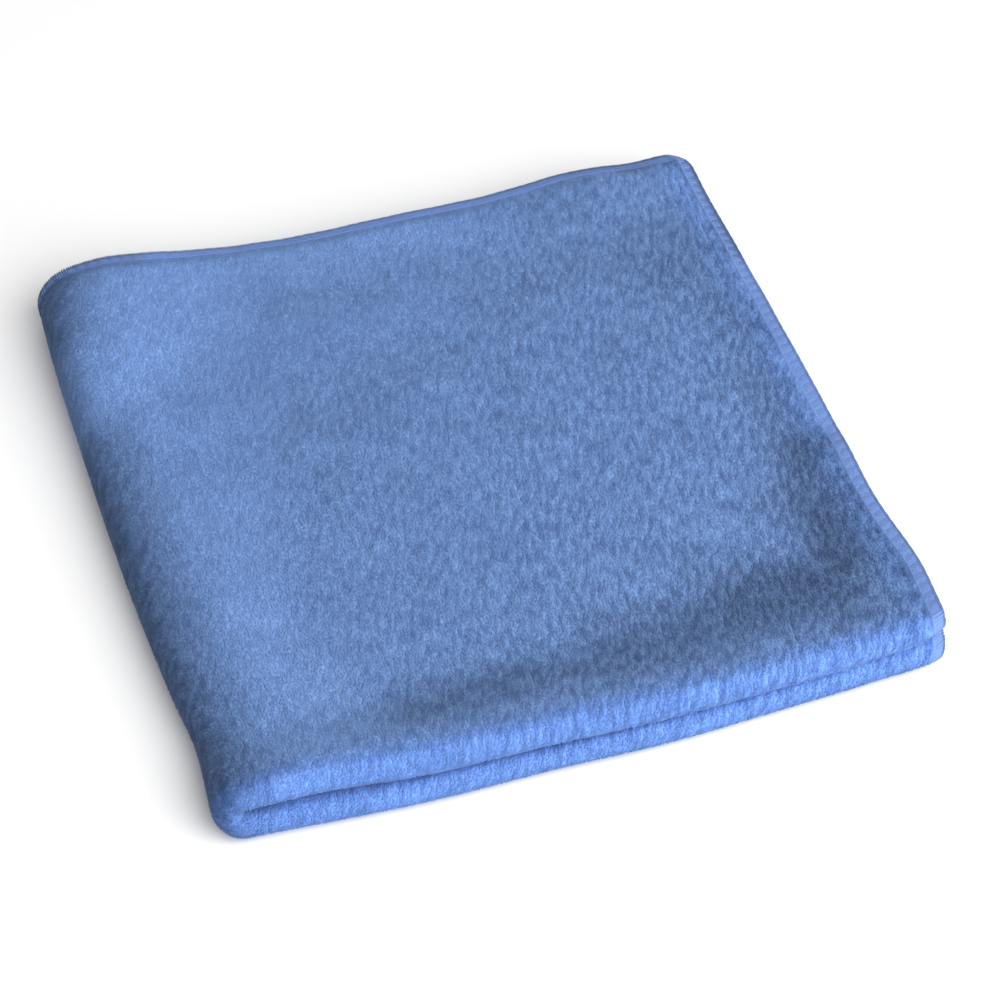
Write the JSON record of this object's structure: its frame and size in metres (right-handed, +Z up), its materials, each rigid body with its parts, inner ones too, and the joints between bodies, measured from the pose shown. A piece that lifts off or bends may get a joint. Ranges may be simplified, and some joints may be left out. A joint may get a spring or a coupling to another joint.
{
  "type": "folded microfibre cloth",
  "caption": "Square blue microfibre terry cloth folded in quarters, with stacked front folds, a round spine and overlocked hems.",
  "frame": {"origin": "middle of the folded cloth's bounding box, on the surface it lies on", "axes": "+Z up through the layers, +Y towards the open back hems, +X towards the open right hems; the second fold is at -X and the first folds are at -Y"},
  "size_m": [0.2016, 0.208, 0.0202],
  "materials": {
    "microfibre": "matt looped microfibre pile"
  },
  "bodies": {
    "root": {"cloth": "microfibre"}
  },
  "joints": []
}
